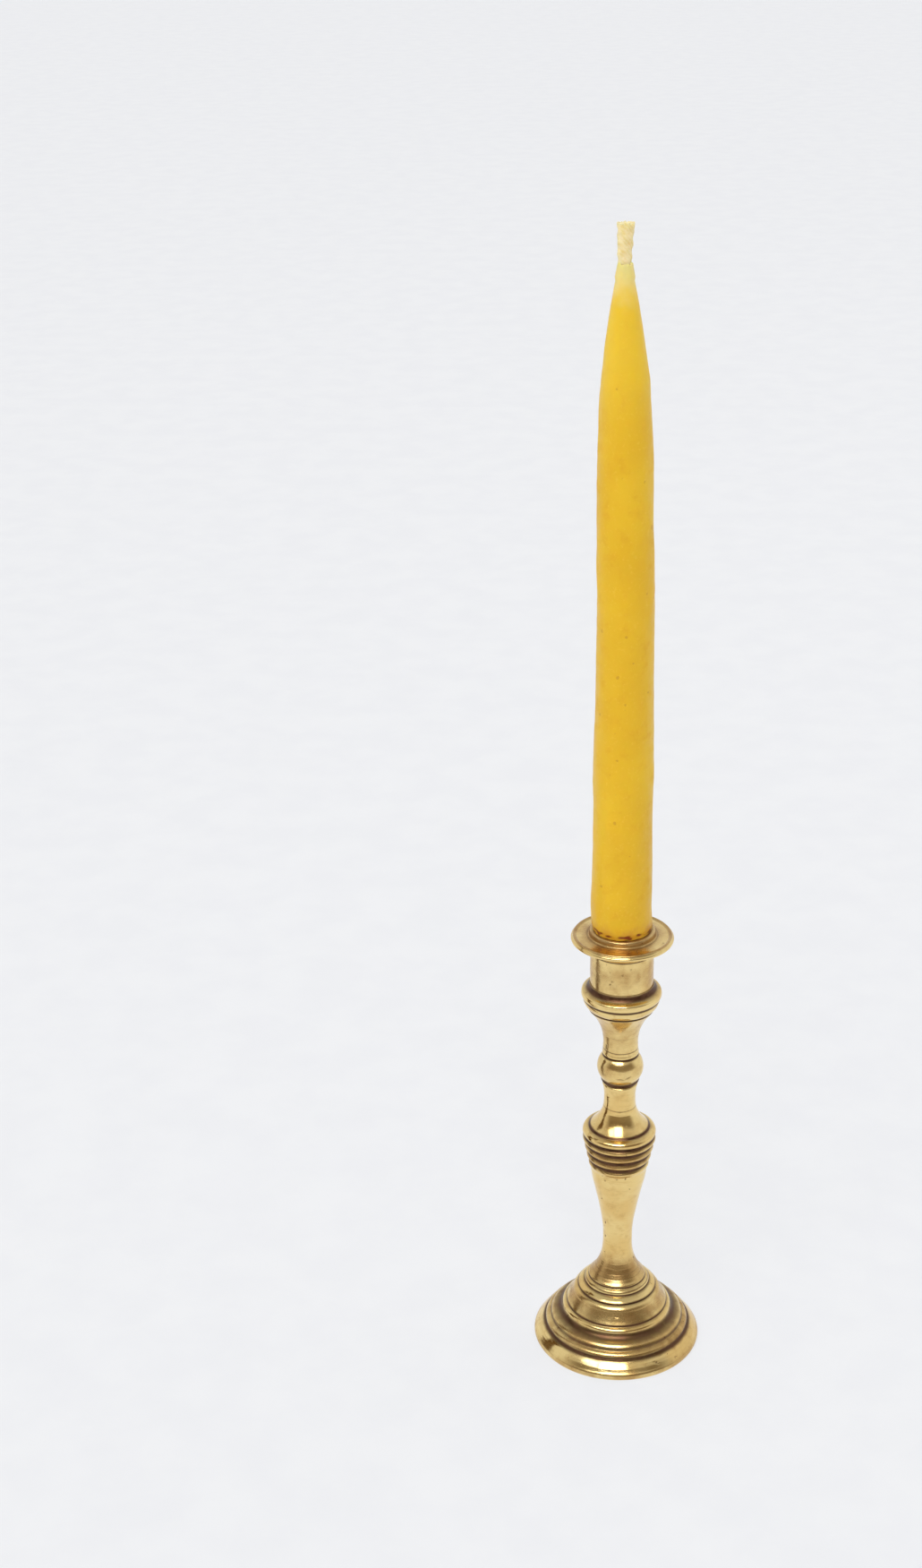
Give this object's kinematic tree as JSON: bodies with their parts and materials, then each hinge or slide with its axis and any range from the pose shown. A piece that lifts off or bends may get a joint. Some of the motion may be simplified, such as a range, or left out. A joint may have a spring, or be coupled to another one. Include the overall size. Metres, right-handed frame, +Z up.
{
  "type": "candlestick",
  "caption": "Small turned brass candlestick with a stepped round foot, baluster stem, knop, cup ring, straight nozzle and drip pan, holding a slim dipped taper candle that lifts out.",
  "frame": {"origin": "centre of the flat ring under the foot, on the surface that the candlestick stands on", "axes": "+Z up along the axis of the stick, the nozzle and the candle; X and Y are any two level directions, because the stick is round"},
  "size_m": [0.0378, 0.0378, 0.2545],
  "materials": {
    "brass": "polished, aged, with brown patina in the grooves",
    "steel": "dull zinc-plated",
    "beeswax": "hand-dipped beeswax, satin and slightly translucent",
    "wick": "cotton coated in pale wax"
  },
  "bodies": {
    "stick": {"foot": "brass", "lower_stem": "brass", "upper_stem": "brass", "knop": "brass", "neck": "brass", "cup": "brass", "nozzle": "brass", "drip_pan": "brass", "tie_rod": "steel", "washer": "steel", "nut": "steel"},
    "candle": {"candle_wax": "beeswax", "wick": "wick"}
  },
  "joints": [
    {"name": "candle_lift", "type": "slide", "parent": "stick", "child": "candle", "axis": [0, 0, 1], "range_m": [0, 0.03]}
  ]
}
